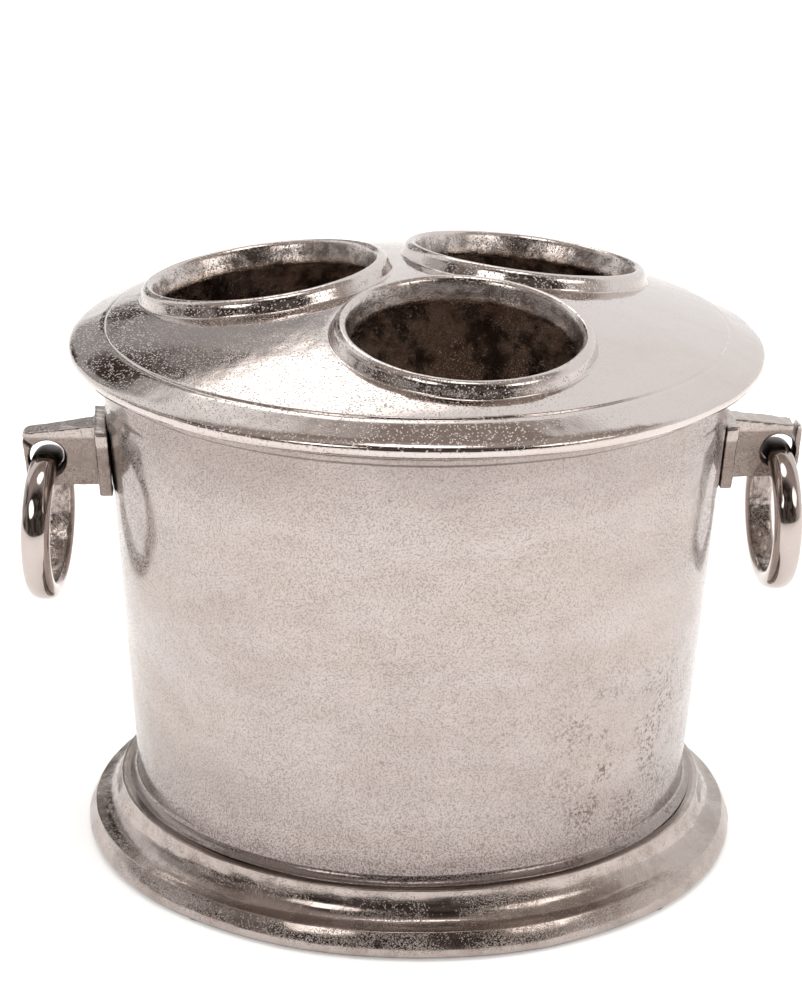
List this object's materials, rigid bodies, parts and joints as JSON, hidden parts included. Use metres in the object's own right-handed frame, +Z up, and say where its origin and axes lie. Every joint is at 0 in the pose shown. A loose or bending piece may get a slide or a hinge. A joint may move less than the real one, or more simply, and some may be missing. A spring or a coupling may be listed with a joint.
{
  "type": "champagne bucket",
  "caption": "Tapered round metal ice bucket on a moulded foot ring, with a loose domed lid that holds bottles in collared holes, and a drop ring on each side for carrying.",
  "frame": {"origin": "centre of the circle that the bucket stands on, at the underside of its pads", "axes": "+Z up along the bucket's axis, +X through the right-hand lug, -Y towards the viewer"},
  "size_m": [0.3986, 0.35, 0.3023],
  "materials": {
    "cast_wall": "satin sand-cast, fine dark pits",
    "cast_foot": "part polished casting",
    "cast_lid": "polished casting with a fine grain",
    "cast_lug": "matt satin casting",
    "polished_ring": "polished outside, rough inside",
    "screw_steel": "plain stainless steel",
    "seal_rubber": "matt black",
    "felt": "pressed felt"
  },
  "bodies": {
    "bucket": {"bucket_body": "cast_wall", "foot_ring": "cast_foot", "lug_left": "cast_lug", "lug_right": "cast_lug", "lug_screw_left_lower": "screw_steel", "lug_screw_left_upper": "screw_steel", "lug_screw_right_lower": "screw_steel", "lug_screw_right_upper": "screw_steel", "seal_washer_left_lower": "seal_rubber", "seal_washer_left_upper": "seal_rubber", "seal_washer_right_lower": "seal_rubber", "seal_washer_right_upper": "seal_rubber", "foot_screw_1": "screw_steel", "foot_screw_2": "screw_steel", "foot_screw_3": "screw_steel", "foot_screw_4": "screw_steel", "foot_screw_5": "screw_steel", "foot_screw_6": "screw_steel", "foot_washer_1": "screw_steel", "foot_washer_2": "screw_steel", "foot_washer_3": "screw_steel", "foot_washer_4": "screw_steel", "foot_washer_5": "screw_steel", "foot_washer_6": "screw_steel", "felt_pad_1": "felt", "felt_pad_2": "felt", "felt_pad_3": "felt", "felt_pad_4": "felt"},
    "lid": {"lid": "cast_lid"},
    "ring_left": {"drop_ring_left": "polished_ring"},
    "ring_right": {"drop_ring_right": "polished_ring"}
  },
  "joints": [
    {"name": "lid_lift", "type": "slide", "parent": "bucket", "child": "lid", "axis": [0, 0, 1], "range_m": [0, 0.12]},
    {"name": "ring_left_swing", "type": "hinge", "parent": "bucket", "child": "ring_left", "pos_m": [-0.1866, 0, 0.2037], "axis": [0, 1, 0], "range_deg": [-18, 165]},
    {"name": "ring_right_swing", "type": "hinge", "parent": "bucket", "child": "ring_right", "pos_m": [0.1866, 0, 0.2037], "axis": [0, -1, 0], "range_deg": [-18, 165]}
  ]
}
